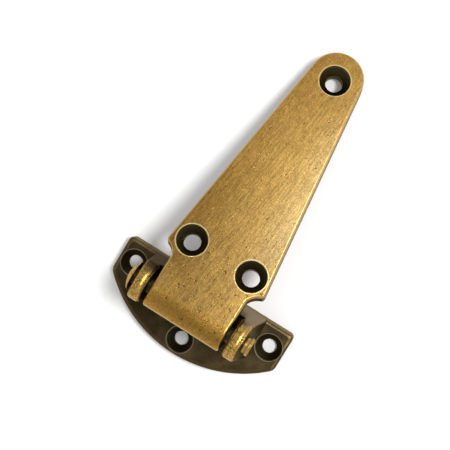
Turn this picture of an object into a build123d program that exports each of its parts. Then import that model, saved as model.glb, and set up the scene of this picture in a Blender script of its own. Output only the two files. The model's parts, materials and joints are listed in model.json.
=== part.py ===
"""Cast brass icebox hinge: half-oval frame leaf with a raised pin seat, tapered strap leaf and headed pin.

Millimetres. +X runs along the pin, +Y towards the strap's tip, +Z out of the mounting face.
The origin is on the mounting face, straight under the middle of the pin's axis.
The strap lies as it comes to rest on a flat surface: the frame leaf is flat and the strap's tip touches down.
"""
import os
from math import asin, atan2, cos, hypot, radians, sin, sqrt, tan

from build123d import *

# Pin axis, and the lugs and knuckle that turn about it
AXIS_HEIGHT = 25.4  # above the mounting face: the hinge's offset
LUG_RADIUS = 6.75
KNUCKLE_RADIUS = 6.4
PIN_DIAMETER = 5.2

# Fits and running gaps
KNUCKLE_FIT = 0.06  # radial, strap turning on the pin
LUG_FIT = 0.02  # radial, pin driven through the lugs
SIDE_GAP = 1.3  # knuckle end to lug, on each side
SADDLE_GAP = 0.7  # knuckle to the saddle under it, at least
SADDLE_BREAKOUT = 0.35  # saddle past the back wall, at least: lets the strap's neck through
HEAD_GAP = 0.8  # pin head to lug

# Frame leaf plate
PLATE_WIDTH = 63.4
PLATE_THICKNESS = 4.5
PLATE_FRONT = 19.7  # pin axis to the apex of the curved edge
PLATE_ARC_RADIUS = 44.5
PLATE_SIDE_CORNER = 3.0
PLATE_BACK_CORNER = 1.6
PLATE_EDGE_ROUND = 0.6

# Raised seat with its two lugs
LUG_THICKNESS = 4.6  # at the height of the pin axis
SEAT_DRAFT = 5.0  # degrees, on the sides and the front
LUG_EDGE_ROUND = 1.1

# Screw holes of the frame leaf
EAR_HOLE_INSET = 5.4  # from the plate's side
EAR_HOLE_FORWARD = 0.75  # in front of the pin axis
FRONT_HOLE_FORWARD = 14.35
FRAME_HOLE_DIAMETER = 4.8
FRAME_HEAD_DIAMETER = 8.8
FRAME_HEAD_DEPTH = 1.2

# Strap leaf, with its outline given at the underside
KNUCKLE_WIDTH = 27.6
STRAP_THICKNESS = 6.4
STRAP_DRAFT = 2.5  # degrees
NECK_RELIEF = 0.6  # the neck's underside stands back from the door face, clear of the seat
NECK_END = 10.7  # pin axis to where the shoulders begin to spread
SHOULDER_START = 14.0  # pin axis to the shoulder's outer corner
SHOULDER_STEP = 4.1  # each shoulder stands out this far from the neck
SHOULDER_HOLLOW = 0.7  # how far the shoulder's slanting edge is hollowed
NECK_ROUND = 0.8
SHOULDER_ROUND = 1.6
TIP_DISTANCE = 86.45  # pin axis to the centre of the round tip
TIP_RADIUS = 9.0
STRAP_EDGE_ROUND = 0.8

# Screw holes of the strap leaf
STRAP_HOLE_SPACING = 21.5
STRAP_HOLE_DISTANCE = 18.05  # pin axis to the pair of holes
TIP_HOLE_DISTANCE = 85.4  # pin axis to the hole in the tip
STRAP_HOLE_DIAMETER = 5.6
STRAP_HEAD_DIAMETER = 9.95
STRAP_HEAD_DEPTH = 1.2

# What all the screw holes share
SINK_ANGLE = 90.0
RIM_CHAMFER = 0.2

# Pin ends: a thin domed head, and a neck that flares out where the other end was spread
HEAD_DIAMETER = 9.8
HEAD_RIM = 0.3
HEAD_DOME = 1.6
NECK_LENGTH = 0.9
FLARE_DIAMETER = 6.1
FLARE_SLOPE = 0.6
FLARE_RIM = 0.8
FLARE_ROUND = 0.25

# Places worked out from the sizes above
pin_radius = PIN_DIAMETER / 2
half_knuckle = KNUCKLE_WIDTH / 2
half_shoulder = half_knuckle + SHOULDER_STEP
half_plate = PLATE_WIDTH / 2
lug_inner = half_knuckle + SIDE_GAP
lug_outer = lug_inner + LUG_THICKNESS
plate_back = LUG_RADIUS  # the back wall runs straight up into the lugs' round backs
saddle_radius = max(KNUCKLE_RADIUS + SADDLE_GAP, LUG_RADIUS + SADDLE_BREAKOUT)
strap_underside = KNUCKLE_RADIUS - STRAP_THICKNESS  # above the pin axis
strap_reach = TIP_DISTANCE + TIP_RADIUS

# The strap slopes until the lower edge of its tip is level with the mounting face
rest_slope = asin(AXIS_HEIGHT / hypot(strap_reach, strap_underside)) + atan2(strap_underside, strap_reach)
strap_along = (0, cos(rest_slope), -sin(rest_slope))
strap_up = (0, sin(rest_slope), cos(rest_slope))
axis_middle = (0, 0, AXIS_HEIGHT)
pin_axis = Axis(axis_middle, (1, 0, 0))
strap_height = Axis(axis_middle, strap_up)
strap_length = Axis(axis_middle, strap_along)
strap_plan = Plane(origin=axis_middle, x_dir=(1, 0, 0), z_dir=strap_up)
strap_side = Plane(origin=axis_middle, x_dir=strap_along, z_dir=(1, 0, 0))


def screw_holes(spots, hole_diameter, head_diameter, head_depth):
    """Sink a screw hole at each spot of the open part: a bevelled recess, a cone and a bore right through."""
    head_radius = head_diameter / 2
    floors = [spot * Pos(0, 0, -head_depth) for spot in spots]
    with Locations(*floors):
        CounterSinkHole(hole_diameter / 2, head_radius, counter_sink_angle=SINK_ANGLE)
    inner, outer = head_radius - RIM_CHAMFER, head_radius + RIM_CHAMFER
    with Locations(*spots):
        Cone(inner, outer, outer - inner, align=(Align.CENTER, Align.CENTER, Align.MAX), mode=Mode.SUBTRACT)


# Frame leaf plate, with its rounded upper edge
arc_centre = PLATE_ARC_RADIUS - PLATE_FRONT
side_end = arc_centre - sqrt(PLATE_ARC_RADIUS**2 - half_plate**2)
with BuildPart() as plate:
    with BuildSketch() as plate_plan:
        with BuildLine():
            side = Line((half_plate, side_end), (half_plate, plate_back))
            mirror(side, about=Plane.YZ)
            Line((-half_plate, plate_back), (half_plate, plate_back))
            ThreePointArc((-half_plate, side_end), (0, -PLATE_FRONT), (half_plate, side_end))
        make_face()
        fillet(plate_plan.vertices().group_by(Axis.Y)[0], radius=PLATE_SIDE_CORNER)
        fillet(plate_plan.vertices().group_by(Axis.Y)[-1], radius=PLATE_BACK_CORNER)
    extrude(amount=PLATE_THICKNESS)
    fillet(plate.faces().sort_by(Axis.Z)[-1].edges(), radius=PLATE_EDGE_ROUND)

# Raised seat: a block flush with the plate's back edge, rounded on top about the pin axis
lean = radians(SEAT_DRAFT)
front_touch = (-LUG_RADIUS * cos(lean), AXIS_HEIGHT + LUG_RADIUS * sin(lean))
front_foot = (-LUG_RADIUS / cos(lean) - AXIS_HEIGHT * tan(lean), 0)
half_foot = lug_outer + AXIS_HEIGHT * tan(lean)
with BuildPart() as seat:
    with BuildSketch(Plane.YZ):
        with BuildLine():
            Polyline(front_touch, front_foot, (plate_back, 0), (plate_back, AXIS_HEIGHT))
            ThreePointArc((plate_back, AXIS_HEIGHT), (0, AXIS_HEIGHT + LUG_RADIUS), front_touch)
        make_face()
    extrude(amount=half_foot, both=True)
    for side in (-1, 1):
        outward = (side * cos(lean), 0, sin(lean))
        split(bisect_by=Plane(origin=(side * lug_outer, 0, AXIS_HEIGHT), z_dir=outward), keep=Keep.BOTTOM)
    # The knuckle's saddle is round under it, open on top and to the front
    with BuildSketch(Plane.YZ):
        with Locations((0, AXIS_HEIGHT)):
            Circle(saddle_radius)
            Rectangle(2 * saddle_radius, 2 * saddle_radius, align=(Align.CENTER, Align.MIN))
            Rectangle(2 * saddle_radius, 2 * saddle_radius, align=(Align.MAX, Align.CENTER))
    extrude(amount=lug_inner, both=True, mode=Mode.SUBTRACT)
    lug_tops = seat.faces().filter_by(GeomType.CYLINDER).sort_by(Axis.Z)[-2:]
    fillet(lug_tops.edges().filter_by(GeomType.LINE, reverse=True), radius=LUG_EDGE_ROUND)

with BuildPart() as frame_leaf:
    add(plate.part)
    add(seat.part)
    with BuildSketch(Plane.YZ):
        with Locations((0, AXIS_HEIGHT)):
            Circle(pin_radius + LUG_FIT)
    extrude(amount=half_foot, both=True, mode=Mode.SUBTRACT)
    ear_reach = half_plate - EAR_HOLE_INSET
    ears = [Pos(x, -EAR_HOLE_FORWARD, PLATE_THICKNESS) for x in (-ear_reach, ear_reach)]
    front = Pos(0, -FRONT_HOLE_FORWARD, PLATE_THICKNESS)
    screw_holes([*ears, front], FRAME_HOLE_DIAMETER, FRAME_HEAD_DIAMETER, FRAME_HEAD_DEPTH)

# Strap leaf: one drafted casting, cut to the side view of knuckle and strap
tip_distance = TIP_DISTANCE - SHOULDER_START
side_angle = atan2(tip_distance, -half_shoulder) - asin(TIP_RADIUS / hypot(tip_distance, half_shoulder))
touch = (TIP_RADIUS * sin(side_angle), TIP_DISTANCE - TIP_RADIUS * cos(side_angle))
foot_growth = (KNUCKLE_RADIUS + strap_underside) * tan(radians(STRAP_DRAFT))
with BuildPart() as strap_leaf:
    with BuildSketch(strap_plan.offset(-KNUCKLE_RADIUS)) as strap_outline:
        with BuildLine():
            neck = Line((half_knuckle, -2 * KNUCKLE_RADIUS), (half_knuckle, NECK_END))
            shoulder = SagittaArc(neck @ 1, (half_shoulder, SHOULDER_START), SHOULDER_HOLLOW)
            long_side = Line(shoulder @ 1, touch)
            mirror([neck, shoulder, long_side], about=Plane.YZ)
            ThreePointArc(touch, (0, strap_reach), (-touch[0], touch[1]))
            Line((-half_knuckle, -2 * KNUCKLE_RADIUS), (half_knuckle, -2 * KNUCKLE_RADIUS))
        make_face()
        fillet(strap_outline.vertices().group_by(Axis.Y)[1], radius=NECK_ROUND)
        widest = strap_outline.vertices().sort_by(Axis.X)
        fillet([widest[0], widest[-1]], radius=SHOULDER_ROUND)
        offset(amount=foot_growth, kind=Kind.INTERSECTION)
    extrude(amount=2 * KNUCKLE_RADIUS, taper=STRAP_DRAFT)
    with BuildSketch(strap_side):
        Circle(KNUCKLE_RADIUS)
        with Locations((0, KNUCKLE_RADIUS)):
            Rectangle(SHOULDER_START, STRAP_THICKNESS - NECK_RELIEF, align=(Align.MIN, Align.MAX))
        with Locations((SHOULDER_START, KNUCKLE_RADIUS)):
            Rectangle(2 * strap_reach, STRAP_THICKNESS, align=(Align.MIN, Align.MAX))
    extrude(amount=2 * half_shoulder, both=True, mode=Mode.INTERSECT)
    with BuildSketch(strap_side):
        Circle(pin_radius + KNUCKLE_FIT)
    extrude(amount=2 * half_shoulder, both=True, mode=Mode.SUBTRACT)
    top_face = strap_leaf.faces().filter_by(GeomType.PLANE).sort_by(strap_height)[-1]
    fillet(top_face.edges().sort_by(strap_length)[1:], radius=STRAP_EDGE_ROUND)
    half_pair = STRAP_HOLE_SPACING / 2
    places = [(-half_pair, STRAP_HOLE_DISTANCE), (half_pair, STRAP_HOLE_DISTANCE), (0, TIP_HOLE_DISTANCE)]
    spots = [strap_plan.location * Pos(x, y, KNUCKLE_RADIUS) for x, y in places]
    screw_holes(spots, STRAP_HOLE_DIAMETER, STRAP_HEAD_DIAMETER, STRAP_HEAD_DEPTH)

# Pin, turned about its axis
head_face = -lug_outer - HEAD_GAP
head_edge = head_face - HEAD_RIM
head_crown = head_edge - HEAD_DOME
flare_start = lug_outer + NECK_LENGTH
flare_full = flare_start + FLARE_SLOPE
pin_end = flare_full + FLARE_RIM
flare_radius = FLARE_DIAMETER / 2
with BuildPart() as hinge_pin:
    with BuildSketch(Plane.XY.offset(AXIS_HEIGHT)):
        with BuildLine():
            TangentArc((head_crown, 0), (head_edge, HEAD_DIAMETER / 2), tangent=(0, 1))
            Polyline(
                (head_edge, HEAD_DIAMETER / 2),
                (head_face, HEAD_DIAMETER / 2),
                (head_face, pin_radius),
                (flare_start, pin_radius),
                (flare_full, flare_radius),
                (pin_end - FLARE_ROUND, flare_radius),
                (pin_end, flare_radius - FLARE_ROUND),
                (pin_end, 0),
                (head_crown, 0),
            )
        make_face()
    revolve(axis=pin_axis)

os.makedirs("parts", exist_ok=True)

frame_leaf.part.label = "frame_leaf"
export_step(frame_leaf.part, "parts/frame_leaf.step")

strap_leaf.part.label = "strap_leaf"
export_step(strap_leaf.part, "parts/strap_leaf.step")

hinge_pin.part.label = "hinge_pin"
export_step(hinge_pin.part, "parts/hinge_pin.step")
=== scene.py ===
"""Antique brass icebox hinge lying on a white table, its strap towards the upper right.

Lengths in the node trees are in millimetres; the scene itself is in metres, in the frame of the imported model.
"""
import json
from math import asin, cos, radians, sin

import bpy
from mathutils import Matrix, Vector

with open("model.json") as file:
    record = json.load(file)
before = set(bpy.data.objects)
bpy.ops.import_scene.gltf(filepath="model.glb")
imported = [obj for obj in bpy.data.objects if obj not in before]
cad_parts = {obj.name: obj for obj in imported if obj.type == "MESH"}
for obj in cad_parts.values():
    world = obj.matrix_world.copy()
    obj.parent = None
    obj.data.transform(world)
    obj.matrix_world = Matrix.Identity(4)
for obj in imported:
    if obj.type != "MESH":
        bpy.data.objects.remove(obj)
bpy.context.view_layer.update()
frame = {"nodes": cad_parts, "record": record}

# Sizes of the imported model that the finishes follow
MM = 1000.0  # millimetres in a metre
mounts = {mount["name"]: mount for mount in frame["record"]["mounts"]}
AXIS_HEIGHT = frame["record"]["behaviour"]["joints"][0]["pos_m"][2] * MM
STRAP_SLOPE = asin(-mounts["strap_face"]["axis"][1])  # from level, down towards the tip
STRAP_HEAD_RADIUS = 4.975
FRAME_HEAD_RADIUS = 4.4
PLATE_TOP = 4.5
PLATE_HALF_WIDTH = 31.7
PLATE_BACK = 6.75
PLATE_ARC_RADIUS = 44.5
PLATE_ARC_CENTRE = 24.8
SADDLE_RADIUS = 7.1
LUG_INNER = 15.1
LUG_OUTER = 19.7
HEAD_GAP = 0.8

# Camera
CAMERA_PLACE = (0.0290013, 0.0625859, 0.3449450)
CAMERA_TURN = (-2.12172, 8.27879, 31.26166)  # degrees
CAMERA_LENS = 84.0856
SENSOR_WIDTH = 36.0

# Light and table
SKY_LOW = 0.80  # strength at the horizon
SKY_HIGH = 0.58  # strength overhead
KEY_PLACE = (0.403, 0.380, 1.06)
KEY_AIM = (0.0, 0.03, 0.0)
KEY_SIZE = 0.28
KEY_POWER = 9.0
TABLE_SIZE = 6.0
TABLE_DROP = 0.00005  # keeps the table off the undersides
TABLE_COLOR = (0.95, 0.95, 0.95, 1)
TABLE_GLOW = 0.05  # lifts the table to white where it is seen or mirrored
WHITE = (1, 1, 1, 1)

# Tones of the metal
# Strap tones darken to the left and pale to the right: partly patina, partly painted light from the right
STRAP_LEFT = (0.39, 0.218, 0.050, 1)
STRAP_MIDDLE = (0.50, 0.300, 0.083, 1)
STRAP_RIGHT = (0.52, 0.365, 0.150, 1)
# Warm tone on the knuckle's roll: partly the brass's tone, partly painted light
STRAP_WARM_AND_LIT = (0.62, 0.332, 0.060, 1)
STRAP_BROWN = (0.12, 0.060, 0.011, 1)
STRAP_EDGE = (0.74, 0.53, 0.21, 1)
STRAP_RING = (0.95, 0.77, 0.40, 1)
# Pale line at the front silhouettes of the knuckle and the lugs: a painted highlight
FRONT_HIGHLIGHT = (0.62, 0.50, 0.28, 1)
STRAP_SIDE = (0.20, 0.145, 0.064, 1)
STRAP_SHADE = (0.11, 0.078, 0.032, 1)
LUG_GOLD = (0.58, 0.345, 0.076, 1)
LUG_BROWN = (0.19, 0.100, 0.015, 1)
# Pale specks on the lugs: partly pale grain, partly painted glints
LUG_SPECK_AND_GLINT = (0.95, 0.80, 0.45, 1)
PATINA = (0.039, 0.029, 0.013, 1)
PATINA_LIGHT = (0.082, 0.055, 0.025, 1)
# Grey of the back wall: partly patina, partly painted reflection of the white table
PATINA_AND_SHEEN_GREY = (0.27, 0.215, 0.155, 1)
PALE_GREY = (0.42, 0.35, 0.25, 1)
RIM_BROWN = (0.105, 0.068, 0.028, 1)
RIM_BACK = (0.22, 0.165, 0.090, 1)
WORN_LINE = (0.34, 0.235, 0.100, 1)
EDGE_TINT = (0.66, 0.58, 0.47, 1)  # of the metal seen at a grazing angle
# Black patina in the holes and on the flanks; painted shade in the strip beside the lugs, on the saddle and in
# the pin's gaps
BLACK_PATINA_AND_SHADE = (0.050, 0.040, 0.018, 1)

# Bands below run from where something starts to where it is full, in millimetres or by how far a face leans.
# Where a band has four values, the last two are the amounts at its two ends.
# A line has a place and a reach to both sides.

# What the finishes share
NOISE_SPAN = (0.25, 0.75)  # most values of a noise lie between these
GRAIN = {"size": 0.45, "detail": 3, "roughness": 0.7}
GRAIN_RELIEF = 0.008
COAT_ROUGHNESS = 0.28
FACE_START = (0.1, 0.4)  # heights above an underside, which stays plain
RING_SHARE = 0.8
HOLE_EDGE = (0.05, -0.1)  # dark inside of a hole, outwards from its recess's wall

# Strap: patterns
STRAP_CLOUD = {"size": 8.0, "detail": 3}
STRAP_MOTTLE = {"size": 1.5, "detail": 3, "roughness": 0.6}
STREAKS = {"width": 0.30, "length": 5.0, "angle": 6}
SLANTS = {"width": 0.25, "length": 2.0, "angle": -40}
PITS = {"size": 1.2, "detail": 3, "roughness": 0.65}
PIT_STRETCH = (1, 0.7, 1)
PIT_LIMIT = (2.0, 45.0, 0.60, 0.65)  # along the strap: pits are rarer towards the tip
PIT_EDGE = (0.0, 0.05)
PIT_SHARE = 0.8

# Strap: where its tones lie, across it to the right and along it from the pin axis
CLOUD_WANDER = 8.0
MIDDLE_ACROSS = (-15.0, 1.0)
MIDDLE_ALONG = (16.0, -2.0)
PALE_ACROSS = (0.0, 16.0)
PALE_ALONG = (4.0, 35.0)
TIP_ALONG = (55.0, 90.0, 0.0, 0.7)
WARM_ALONG = (2.0, -2.0, 0.0, 0.8)
# Painted shade: the strap darker towards the knuckle
PAINTED_SHADE_ALONG = (-8.0, 70.0, 0.55, 1.06)
# Painted light at the left near the hinge end, halved on the knuckle's roll
NEAR_LEFT_ACROSS = (2.0, -14.0)
NEAR_LEFT_ALONG = (14.0, 2.0)
NEAR_LEFT_ROLL = (-2.5, 0.5, 0.5, 1.0)
NEAR_LEFT_PAINTED_LIGHT = 1.34
# Painted shade at the right, a little along from the hinge end
NEAR_RIGHT_ACROSS = (3.0, 13.0)
NEAR_RIGHT_FAR_END = (50.0, 24.0)
NEAR_RIGHT_NEAR_END = (8.0, 18.0)
NEAR_RIGHT_PAINTED_SHADE = 0.84
# Painted light on the knuckle's roll, stronger to the right
ROLL_LINE = (-2.0, 2.2)
ROLL_ACROSS = (-8.0, 10.0)
ROLL_PAINTED_LIGHT = 1.3
MOTTLE_SPREAD = 0.10
GRAIN_SPREAD = 0.30
STREAK_SPREAD = 0.13
SLANT_SPREAD = 0.12

# Strap: edges, sides and the knuckle's front
TOP_ALONG = (0.0, 3.0)
EDGE_LEAN = (0.995, 0.90)
EDGE_SHARE = 0.45
# The knuckle's front line is a painted highlight
FRONT_LINE = (0.6, 2.0)
FRONT_ALONG = (-4.5, -6.0)
SIDE_LEAN = (0.55, 0.15)
SIDE_CLOUDS = (0.75, 1.25)
STRAP_RING_LINE = (0.2, 0.3)  # outwards from the recess's wall
STRAP_CROWN = 1 / 800  # fall at 1 mm from the middle
STREAK_RELIEF = 0.006
PIT_RELIEF = -0.03
STRAP_ROUGHNESS = (0.3, 0.7, 0.31, 0.39)

# Frame leaf: plate and back wall
FRAME_CLOUD = {"size": 6.0, "detail": 4}
FRAME_MOTTLE = {"size": 1.4, "detail": 3, "roughness": 0.6}
FRAME_CLOUDS = (0.35, 0.7)
FRAME_ACROSS_GAIN = (-30.0, 30.0, 0.80, 1.35)
FRAME_GRAIN_SPREAD = 0.2
BACK_LEAN = (0.4, 0.9)
# The back wall's grey fades out to the left: painted shade under the strap
BACK_ACROSS = (-16.0, 10.0, 0.05, 1.0)
# A painted shade strip on the back wall beside each lug's inner side
SHADE_STRIP_LINE = (LUG_INNER - 0.8, 2.4)
SHADE_STRIP_HEIGHT = (8.0, 22.0)
PLATE_HEIGHT = (PLATE_TOP + 0.3, PLATE_TOP)
PLATE_LEAN = (0.3, 0.8)
CORNER_ROUND = 2.0
RIM_BAND = (1.5, 1.0)
RIM_MOTTLE = (0.3, 0.6, 0.5, 1.0)
RIM_BEVEL = (0.0, 1.2)
RIM_BEVEL_DEPTH = 0.3
WORN_WANDER = 1.0
WORN_PLACE = (0.9, 0.5)  # inwards from the rim
WORN_CLOUDS = (0.4, 0.6, 0.2, 1.0)
WORN_ACROSS = (-25.0, 25.0, 0.3, 1.0)
FRAME_RING_LINE = (0.15, 0.25)  # outwards from the recess's wall
MOTTLE_RELIEF = 0.012

# Frame leaf: lugs and the dark places beside them
LUG_GRAIN = (0.36, 0.58)
SPECK_AND_GLINT_GRAIN = (0.58, 0.70, 0.0, 0.7)
LUG_HEIGHT = (20.0, 26.0)
LUG_FADE_START = (-10.0, 10.0, 0.9, 1.0)  # lean at which a lug's gold starts, from the left lug to the right
LUG_FADE_END = (-10.0, 10.0, 0.35, 0.65)  # lean at which it is full
LUG_SIDE_LEAN = (0.95, 0.6)
# Each lug's pale front line is a painted highlight
LUG_FRONT_LEAN = (-0.86, -0.95)
LUG_FRONT_HEIGHT = (22.0, 24.0)
LUG_CROWN = 1 / 6  # fall at 1 mm from the lug's middle
LUG_BRUSHING = 0.75
LUG_COAT = 0.2
FRAME_ROUGHNESS = 0.45
LUG_ROUGHNESS = 0.37
# The saddle's black: partly patina, partly painted shade
GAP_ACROSS = (LUG_INNER + 0.6, LUG_INNER)
GAP_REACH = (SADDLE_RADIUS + 0.5, SADDLE_RADIUS + 0.1)
GAP_LEAN = (0.8, 0.4)
FLANK_LEAN = (0.8, 0.95)
FLANK_FOOT = (4.8, 5.5)
FLANK_TOP = (24.0, 18.0)

# Pin
PIN_MOTTLE = {"size": 1.2, "detail": 3, "roughness": 0.6}
PIN_GRAIN = {"size": 0.5, "detail": 2}
PIN_MOTTLE_SPAN = (0.25, 0.6)
PIN_GRAIN_SPREAD = 0.15
PIN_HEAD_FACE = -LUG_OUTER - HEAD_GAP
PIN_GAP_LEFT = (PIN_HEAD_FACE - 0.15, PIN_HEAD_FACE - 0.05)
PIN_GAP_RIGHT = (LUG_OUTER + 0.3, LUG_OUTER)
WAIST_LINE = (LUG_OUTER + 1.2, 0.7)
WAIST_METALLIC = 0.2
PIN_COAT = 0.15
PIN_GRAIN_RELIEF = 0.01
PIN_MOTTLE_RELIEF = 0.02
PIN_ROUGHNESS = (0.3, 0.7, 0.3, 0.38)


class Nodes:
    """A node tree, with short ways to add and join its nodes."""

    def __init__(self, tree):
        self.tree = tree

    def add(self, kind):
        return self.tree.nodes.new(kind)

    def put(self, socket, value):
        """Join a socket to another node's output, or set it."""
        if isinstance(value, bpy.types.NodeSocket):
            self.tree.links.new(value, socket)
        else:
            socket.default_value = value

    def math(self, operation, *values):
        node = self.add("ShaderNodeMath")
        node.operation = operation
        for socket, value in zip(node.inputs, values):
            self.put(socket, value)
        return node.outputs[0]

    def product(self, first, *others):
        """All the values multiplied."""
        for other in others:
            first = self.math("MULTIPLY", first, other)
        return first

    def total(self, first, *others):
        """All the values added up."""
        for other in others:
            first = self.math("ADD", first, other)
        return first

    def vector(self, operation, *values):
        node = self.add("ShaderNodeVectorMath")
        node.operation = operation
        for socket, value in zip(node.inputs, values):
            self.put(socket, value)
        return node.outputs["Value" if operation in ("DOT_PRODUCT", "LENGTH") else "Vector"]

    def split(self, vector):
        node = self.add("ShaderNodeSeparateXYZ")
        self.put(node.inputs[0], vector)
        return node.outputs

    def ramp(self, value, start, end, low=0.0, high=1.0, kind="SMOOTHSTEP"):
        """A step, smooth unless said otherwise: low at start and high at end."""
        node = self.add("ShaderNodeMapRange")
        node.interpolation_type = kind
        for socket, setting in zip(node.inputs, (value, start, end, low, high)):
            self.put(socket, setting)
        return node.outputs["Result"]

    def peak(self, value, centre, reach):
        """1 where the value is at the centre, falling smoothly to 0 at this reach from it."""
        return self.ramp(self.math("ABSOLUTE", self.math("SUBTRACT", value, centre)), reach, 0.0)

    def between(self, share, low, high):
        """Low where the share is 0, and high where it is 1."""
        return self.ramp(share, 0.0, 1.0, low, high)

    def varied(self, noise, spread):
        """A factor that follows a noise, from 1 down and up by this spread."""
        return self.ramp(noise, *NOISE_SPAN, 1 - spread, 1 + spread)

    def wander(self, noise, reach):
        """A shift to both sides that follows a noise and spans about this reach."""
        return self.product(self.total(noise, -0.5), reach)

    def distance(self, place, centre, axes):
        """Distance to a centre, counting only the axes that are given as 1."""
        kept = self.vector("MULTIPLY", place, axes)
        return self.vector("LENGTH", self.vector("SUBTRACT", kept, centre))


class Finish(Nodes):
    """One procedural metal."""

    def __init__(self, name):
        self.material = bpy.data.materials.new(name)
        self.material.use_nodes = True
        super().__init__(self.material.node_tree)
        self.shader = self.tree.nodes["Principled BSDF"]
        self.set("Metallic", 1.0)
        self.set("Specular Tint", EDGE_TINT)
        coordinates = self.add("ShaderNodeTexCoord")
        self.place = coordinates.outputs["Object"]
        self.normal = coordinates.outputs["Normal"]

    def set(self, name, value):
        """Join or set one of the shader's inputs."""
        self.put(self.shader.inputs[name], value)

    def mapped(self, vector, scale=(1, 1, 1), turn=(0, 0, 0), shift=(0, 0, 0)):
        node = self.add("ShaderNodeMapping")
        self.put(node.inputs["Vector"], vector)
        node.inputs["Scale"].default_value = scale
        node.inputs["Rotation"].default_value = turn
        node.inputs["Location"].default_value = shift
        return node.outputs[0]

    def noise(self, vector, size, detail=2.0, roughness=0.5):
        """Noise from 0 to 1 whose blotches are about this many millimetres across."""
        node = self.add("ShaderNodeTexNoise")
        self.put(node.inputs["Vector"], vector)
        node.inputs["Scale"].default_value = 1 / size
        node.inputs["Detail"].default_value = detail
        node.inputs["Roughness"].default_value = roughness
        return node.outputs["Fac"]

    def scratches(self, place, width, length, angle):
        """Noise drawn out into scratches of this width and length, at an angle in plan."""
        turned = self.mapped(place, turn=(0, 0, radians(angle)))
        return self.noise(self.mapped(turned, scale=(1 / width, 1 / length, 1 / width)), 1.0)

    def mix(self, share, first, second):
        """A colour between two, by share."""
        node = self.add("ShaderNodeMix")
        node.data_type = "RGBA"
        self.put(node.inputs["Factor"], share)
        for socket, color in zip((node.inputs[6], node.inputs[7]), (first, second)):
            self.put(socket, color)
        return node.outputs[2]

    def scaled(self, color, share):
        """A colour made darker or lighter by a factor."""
        node = self.add("ShaderNodeVectorMath")
        node.operation = "SCALE"
        self.put(node.inputs["Vector"], color)
        self.put(node.inputs["Scale"], share)
        return node.outputs["Vector"]

    def worn_holes(self, tone, place, centres, head_radius, ring_line, ring_color, face):
        """The tone with a pale ring round each screw hole and a dark inside, where the face is 1."""
        nearest = None
        for centre in centres:
            reach = self.distance(place, (*centre, 0), (1, 1, 0))
            nearest = reach if nearest is None else self.math("MINIMUM", nearest, reach)
        ring_offset, ring_reach = ring_line
        ring = self.product(self.peak(nearest, head_radius + ring_offset, ring_reach), face)
        tone = self.mix(self.product(ring, RING_SHARE), tone, ring_color)
        inside = self.ramp(nearest, *(head_radius + edge for edge in HOLE_EDGE))
        return self.mix(self.product(inside, face), tone, BLACK_PATINA_AND_SHADE)

    def finish(self, tone, roughness, relief, node_name):
        """Give the node this colour, roughness and relief in millimetres."""
        self.set("Base Color", tone)
        self.set("Roughness", roughness)
        bump = self.add("ShaderNodeBump")
        bump.inputs["Distance"].default_value = 1 / MM
        self.put(bump.inputs["Height"], relief)
        for socket in ("Normal", "Coat Normal"):
            self.set(socket, bump.outputs["Normal"])
        slots = frame["nodes"][node_name].data.materials
        slots.clear()
        slots.append(self.material)


def strap_place(mount):
    """The plan position of a mount on the strap, in millimetres along the pin and along the strap."""
    x, y, z = (value * MM for value in mount["pos_m"])
    return x, y * cos(STRAP_SLOPE) - (z - AXIS_HEIGHT) * sin(STRAP_SLOPE)


def frame_place(mount):
    """The plan position of a mount on the frame leaf, in millimetres."""
    return tuple(value * MM for value in mount["pos_m"][:2])


def paired(middle, spacing):
    """The two plan positions to both sides of a middle."""
    return [(side * spacing / 2, middle[1]) for side in (-1, 1)]


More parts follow.
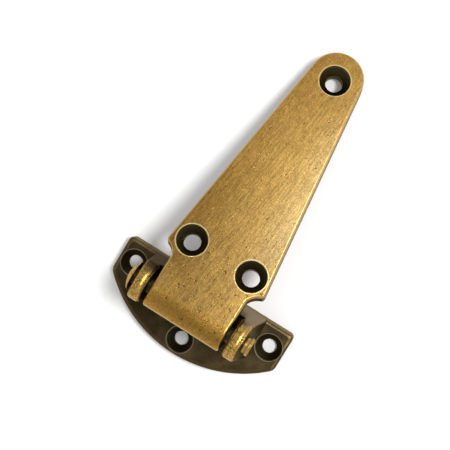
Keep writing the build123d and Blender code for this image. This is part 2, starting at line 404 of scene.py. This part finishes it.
def dress_strap():
    """Satin brass with a wiped brown patina, scratched along its length and pitted towards the hinge end; its
    tones also hold painted light and shade across and along it.
    """
    strap = Finish("strap_brass")
    place = strap.mapped(
        strap.place,
        scale=(MM, MM, MM),
        turn=(STRAP_SLOPE, 0, 0),
        shift=(0, AXIS_HEIGHT * sin(STRAP_SLOPE), -AXIS_HEIGHT * cos(STRAP_SLOPE)),
    )
    across, along, height = strap.split(place)
    facing_up = strap.vector("DOT_PRODUCT", strap.normal, (0, sin(STRAP_SLOPE), cos(STRAP_SLOPE)))
    cloud = strap.noise(place, **STRAP_CLOUD)
    mottle = strap.noise(place, **STRAP_MOTTLE)
    grain = strap.noise(place, **GRAIN)
    streaks = strap.scratches(place, **STREAKS)
    slants = strap.scratches(place, **SLANTS)
    pits = strap.noise(strap.mapped(place, scale=PIT_STRETCH), **PITS)

    # Tones from left to right and from the knuckle to the tip: partly patina, partly painted light from the
    # right
    shifted = strap.total(across, strap.wander(cloud, CLOUD_WANDER))
    middle = strap.math("MAXIMUM", strap.ramp(shifted, *MIDDLE_ACROSS), strap.ramp(along, *MIDDLE_ALONG))
    tone = strap.mix(middle, STRAP_LEFT, STRAP_MIDDLE)
    pale = strap.product(strap.ramp(shifted, *PALE_ACROSS), strap.ramp(along, *PALE_ALONG))
    tone = strap.mix(pale, tone, STRAP_RIGHT)
    tone = strap.mix(strap.ramp(along, *TIP_ALONG), tone, STRAP_LEFT)
    # Warmer tone on the knuckle's roll, partly painted light
    tone = strap.mix(strap.ramp(along, *WARM_ALONG), tone, STRAP_WARM_AND_LIT)
    # Masks of painted light and shade near the hinge end
    painted_light_left = strap.product(
        strap.ramp(across, *NEAR_LEFT_ACROSS),
        strap.ramp(along, *NEAR_LEFT_ALONG),
        strap.ramp(along, *NEAR_LEFT_ROLL),
    )
    painted_shade_right = strap.product(
        strap.ramp(across, *NEAR_RIGHT_ACROSS),
        strap.ramp(along, *NEAR_RIGHT_FAR_END),
        strap.ramp(along, *NEAR_RIGHT_NEAR_END),
    )
    painted_light_roll = strap.product(strap.peak(along, *ROLL_LINE), strap.ramp(across, *ROLL_ACROSS))
    # Noise and scratches vary the tone; the last four factors are painted shade and light
    grain_and_painted_light = strap.product(
        strap.varied(mottle, MOTTLE_SPREAD),
        strap.varied(grain, GRAIN_SPREAD),
        strap.varied(streaks, STREAK_SPREAD),
        strap.varied(slants, SLANT_SPREAD),
        strap.ramp(along, *PAINTED_SHADE_ALONG),
        strap.between(painted_light_left, 1.0, NEAR_LEFT_PAINTED_LIGHT),
        strap.between(painted_shade_right, 1.0, NEAR_RIGHT_PAINTED_SHADE),
        strap.between(painted_light_roll, 1.0, ROLL_PAINTED_LIGHT),
    )
    tone = strap.scaled(tone, grain_and_painted_light)

    # Pits, worn edges, the knuckle's front line as a painted highlight, and the dull sides
    pitted = strap.ramp(strap.math("SUBTRACT", pits, strap.ramp(along, *PIT_LIMIT)), *PIT_EDGE)
    tone = strap.mix(strap.product(pitted, PIT_SHARE), tone, STRAP_BROWN)
    on_top = strap.ramp(along, *TOP_ALONG)
    edge = strap.product(strap.ramp(facing_up, *EDGE_LEAN), on_top)
    tone = strap.mix(strap.product(edge, EDGE_SHARE), tone, STRAP_EDGE)
    front_highlight = strap.product(strap.peak(height, *FRONT_LINE), strap.ramp(along, *FRONT_ALONG))
    tone = strap.mix(front_highlight, tone, FRONT_HIGHLIGHT)
    side = strap.product(strap.ramp(facing_up, *SIDE_LEAN), on_top)
    side_tone = strap.mix(strap.ramp(strap.total(cloud, grain), *SIDE_CLOUDS), STRAP_SHADE, STRAP_SIDE)
    tone = strap.mix(side, tone, side_tone)

    pair = paired(strap_place(mounts["strap_screws"]), mounts["strap_screws"]["dims"]["pcd_mm"])
    holes = [*pair, strap_place(mounts["tip_screw"])]
    face = strap.ramp(height, *FACE_START)
    tone = strap.worn_holes(tone, place, holes, STRAP_HEAD_RADIUS, STRAP_RING_LINE, STRAP_RING, face)
    relief = strap.total(
        strap.product(across, across, -STRAP_CROWN),
        strap.product(grain, GRAIN_RELIEF),
        strap.product(streaks, STREAK_RELIEF),
        strap.product(pitted, PIT_RELIEF),
    )
    strap.finish(tone, strap.ramp(streaks, *STRAP_ROUGHNESS), relief, "strap_leaf")


def dress_frame():
    """Dark patina, worn to brass on the lugs, along the edges and round the holes, with painted reflection and
    shade on the back wall and painted shade beside the strap.
    """
    body = Finish("frame_brass")
    place = body.mapped(body.place, scale=(MM, MM, MM))
    across, along, height = body.split(place)
    normal_x, normal_y, normal_z = body.split(body.normal)
    outward = body.math("ABSOLUTE", across)
    beside = body.math("ABSOLUTE", normal_x)
    facing_back = body.ramp(normal_y, *BACK_LEAN)
    cloud = body.noise(place, **FRAME_CLOUD)
    mottle = body.noise(place, **FRAME_MOTTLE)
    grain = body.noise(place, **GRAIN)

    # Patina, lighter to the right; grey on the back wall, partly patina and partly painted reflection of the
    # table, fading to the left as painted shade; a painted shade strip beside each lug's inner side
    tone = body.mix(body.ramp(cloud, *FRAME_CLOUDS), PATINA, PATINA_LIGHT)
    tone = body.scaled(tone, body.ramp(across, *FRAME_ACROSS_GAIN))
    tone = body.mix(body.product(facing_back, body.ramp(across, *BACK_ACROSS)), tone, PATINA_AND_SHEEN_GREY)
    # Painted shade strip beside each lug's inner side
    painted_shade_strip = body.product(body.peak(outward, *SHADE_STRIP_LINE), body.ramp(height, *SHADE_STRIP_HEIGHT), facing_back)
    tone = body.mix(painted_shade_strip, tone, BLACK_PATINA_AND_SHADE)

    # Lugs, worn to gold on top with pale specks that are partly painted glints, and a painted highlight line in
    # front
    lug_tone = body.mix(body.ramp(grain, *LUG_GRAIN), LUG_BROWN, LUG_GOLD)
    # Pale specks, partly painted glints
    lug_tone = body.mix(body.ramp(grain, *SPECK_AND_GLINT_GRAIN), lug_tone, LUG_SPECK_AND_GLINT)
    fade = (body.ramp(across, *LUG_FADE_START), body.ramp(across, *LUG_FADE_END))
    lug = body.product(
        body.ramp(height, *LUG_HEIGHT),
        body.ramp(normal_y, *fade),
        body.ramp(beside, *LUG_SIDE_LEAN),
    )
    tone = body.mix(lug, tone, lug_tone)
    lug_front_highlight = body.product(body.ramp(normal_y, *LUG_FRONT_LEAN), body.ramp(height, *LUG_FRONT_HEIGHT))
    tone = body.mix(lug_front_highlight, tone, FRONT_HIGHLIGHT)
    tone = body.scaled(tone, body.varied(grain, FRAME_GRAIN_SPREAD))

    # Plate: brown rim, and a worn line inside it at the back and the sides
    arc_reach = body.distance(place, (0, PLATE_ARC_CENTRE, 0), (1, 1, 0))
    from_back = body.math("SUBTRACT", PLATE_BACK, along)
    from_side = body.math("SUBTRACT", PLATE_HALF_WIDTH, outward)
    from_corner = body.math("SMOOTH_MIN", from_back, from_side, CORNER_ROUND)
    rim = body.math("MINIMUM", from_corner, body.math("SUBTRACT", PLATE_ARC_RADIUS, arc_reach))
    low = body.ramp(height, *PLATE_HEIGHT)
    on_plate = body.product(low, body.ramp(normal_z, *PLATE_LEAN))
    rim_share = body.product(body.ramp(rim, *RIM_BAND), low, body.ramp(mottle, *RIM_MOTTLE))
    tone = body.mix(rim_share, tone, RIM_BROWN)
    tone = body.mix(body.product(facing_back, low), tone, RIM_BACK)
    worn = body.product(
        body.peak(body.total(from_corner, body.wander(mottle, WORN_WANDER)), *WORN_PLACE),
        on_plate,
        body.ramp(cloud, *WORN_CLOUDS),
        body.ramp(across, *WORN_ACROSS),
    )
    tone = body.mix(worn, tone, WORN_LINE)

    ears = paired(frame_place(mounts["ear_screws"]), mounts["ear_screws"]["dims"]["spacing_x_mm"])
    holes = [*ears, frame_place(mounts["front_screw"])]
    face = body.product(low, body.ramp(height, *FACE_START))
    tone = body.worn_holes(tone, place, holes, FRAME_HEAD_RADIUS, FRAME_RING_LINE, PALE_GREY, face)

    # Dark saddle, partly black patina and partly painted shade, and black flanks
    from_axis = body.distance(place, (0, 0, AXIS_HEIGHT), (0, 1, 1))
    gap = body.product(
        body.ramp(outward, *GAP_ACROSS),
        body.ramp(from_axis, *GAP_REACH),
        body.ramp(normal_y, *GAP_LEAN),
    )
    flank = body.product(
        body.ramp(beside, *FLANK_LEAN),
        body.ramp(height, *FLANK_FOOT),
        body.ramp(height, *FLANK_TOP),
    )
    tone = body.mix(body.math("MAXIMUM", gap, flank), tone, BLACK_PATINA_AND_SHADE)

    from_lug_middle = body.math("SUBTRACT", outward, (LUG_INNER + LUG_OUTER) / 2)
    relief = body.total(
        body.product(from_lug_middle, from_lug_middle, lug, -LUG_CROWN),
        body.product(body.ramp(rim, *RIM_BEVEL), on_plate, RIM_BEVEL_DEPTH),
        body.product(grain, GRAIN_RELIEF),
        body.product(mottle, MOTTLE_RELIEF),
    )
    turned = body.add("ShaderNodeTangent")
    turned.direction_type = "RADIAL"
    turned.axis = "X"
    body.set("Tangent", turned.outputs[0])
    body.set("Anisotropic", body.product(lug, LUG_BRUSHING))
    body.set("Coat Weight", body.product(lug, LUG_COAT))
    body.set("Coat Roughness", COAT_ROUGHNESS)
    body.finish(tone, body.between(lug, FRAME_ROUGHNESS, LUG_ROUGHNESS), relief, "frame_leaf")


def dress_pin():
    """Brass at its two ends, darkened where it runs through the gaps by patina and painted shade, with a dull
    waist by the spread end.
    """
    pin = Finish("pin_brass")
    place = pin.mapped(pin.place, scale=(MM, MM, MM))
    across = pin.split(place)[0]
    mottle = pin.noise(place, **PIN_MOTTLE)
    grain = pin.noise(place, **PIN_GRAIN)
    tone = pin.mix(pin.ramp(mottle, *PIN_MOTTLE_SPAN), LUG_BROWN, LUG_GOLD)
    tone = pin.scaled(tone, pin.varied(grain, PIN_GRAIN_SPREAD))
    # Dark in the gaps beside the lugs: partly patina, partly painted shade
    gap = pin.product(pin.ramp(across, *PIN_GAP_LEFT), pin.ramp(across, *PIN_GAP_RIGHT))
    tone = pin.mix(gap, tone, BLACK_PATINA_AND_SHADE)
    waist = pin.peak(across, *WAIST_LINE)
    tone = pin.mix(waist, tone, STRAP_RIGHT)
    pin.set("Metallic", pin.between(waist, 1.0, WAIST_METALLIC))
    pin.set("Coat Weight", PIN_COAT)
    pin.set("Coat Roughness", COAT_ROUGHNESS)
    relief = pin.total(pin.product(grain, PIN_GRAIN_RELIEF), pin.product(mottle, PIN_MOTTLE_RELIEF))
    pin.finish(tone, pin.ramp(grain, *PIN_ROUGHNESS), relief, "hinge_pin")


def lay_table():
    """A matt white table under the hinge."""
    bpy.ops.mesh.primitive_plane_add(size=TABLE_SIZE, location=(0, 0, -TABLE_DROP))
    table = bpy.context.object
    table.name = "table"
    material = bpy.data.materials.new("table_white")
    material.use_nodes = True
    nodes = Nodes(material.node_tree)
    shader = nodes.tree.nodes["Principled BSDF"]
    path = nodes.add("ShaderNodeLightPath")
    seen = path.outputs["Is Camera Ray"]
    for other in ("Is Glossy Ray", "Is Transmission Ray"):
        seen = nodes.math("MAXIMUM", seen, path.outputs[other])
    settings = {
        "Base Color": TABLE_COLOR,
        "Roughness": 1.0,
        "Specular IOR Level": 0.0,
        "Emission Color": WHITE,
        "Emission Strength": nodes.product(seen, TABLE_GLOW),
    }
    for name, value in settings.items():
        nodes.put(shader.inputs[name], value)
    table.data.materials.append(material)


def light_scene():
    """A sky that is brighter towards the horizon, and one soft lamp high on the right."""
    world = bpy.data.worlds.new("studio")
    world.use_nodes = True
    sky = Nodes(world.node_tree)
    direction = sky.add("ShaderNodeTexCoord")
    upward = sky.split(direction.outputs["Generated"])[2]
    background = sky.tree.nodes["Background"]
    sky.put(background.inputs["Strength"], sky.ramp(upward, 0.0, 1.0, SKY_LOW, SKY_HIGH, kind="LINEAR"))
    sky.put(background.inputs["Color"], WHITE)
    bpy.context.scene.world = world
    key_data = bpy.data.lights.new("key", "AREA")
    key_data.shape = "DISK"
    key_data.size = KEY_SIZE
    key_data.energy = KEY_POWER
    key = bpy.data.objects.new("key", key_data)
    key.location = KEY_PLACE
    key.rotation_euler = (Vector(KEY_AIM) - Vector(KEY_PLACE)).to_track_quat("-Z", "Y").to_euler()
    bpy.context.collection.objects.link(key)


def place_camera():
    """The camera that took the photograph's view."""
    camera_data = bpy.data.cameras.new("camera")
    camera_data.lens = CAMERA_LENS
    camera_data.sensor_width = SENSOR_WIDTH
    camera = bpy.data.objects.new("camera", camera_data)
    camera.location = CAMERA_PLACE
    camera.rotation_euler = [radians(angle) for angle in CAMERA_TURN]
    bpy.context.collection.objects.link(camera)
    bpy.context.scene.camera = camera


dress_strap()
dress_frame()
dress_pin()
lay_table()
light_scene()
place_camera()
bpy.context.scene.view_settings.view_transform = "Standard"
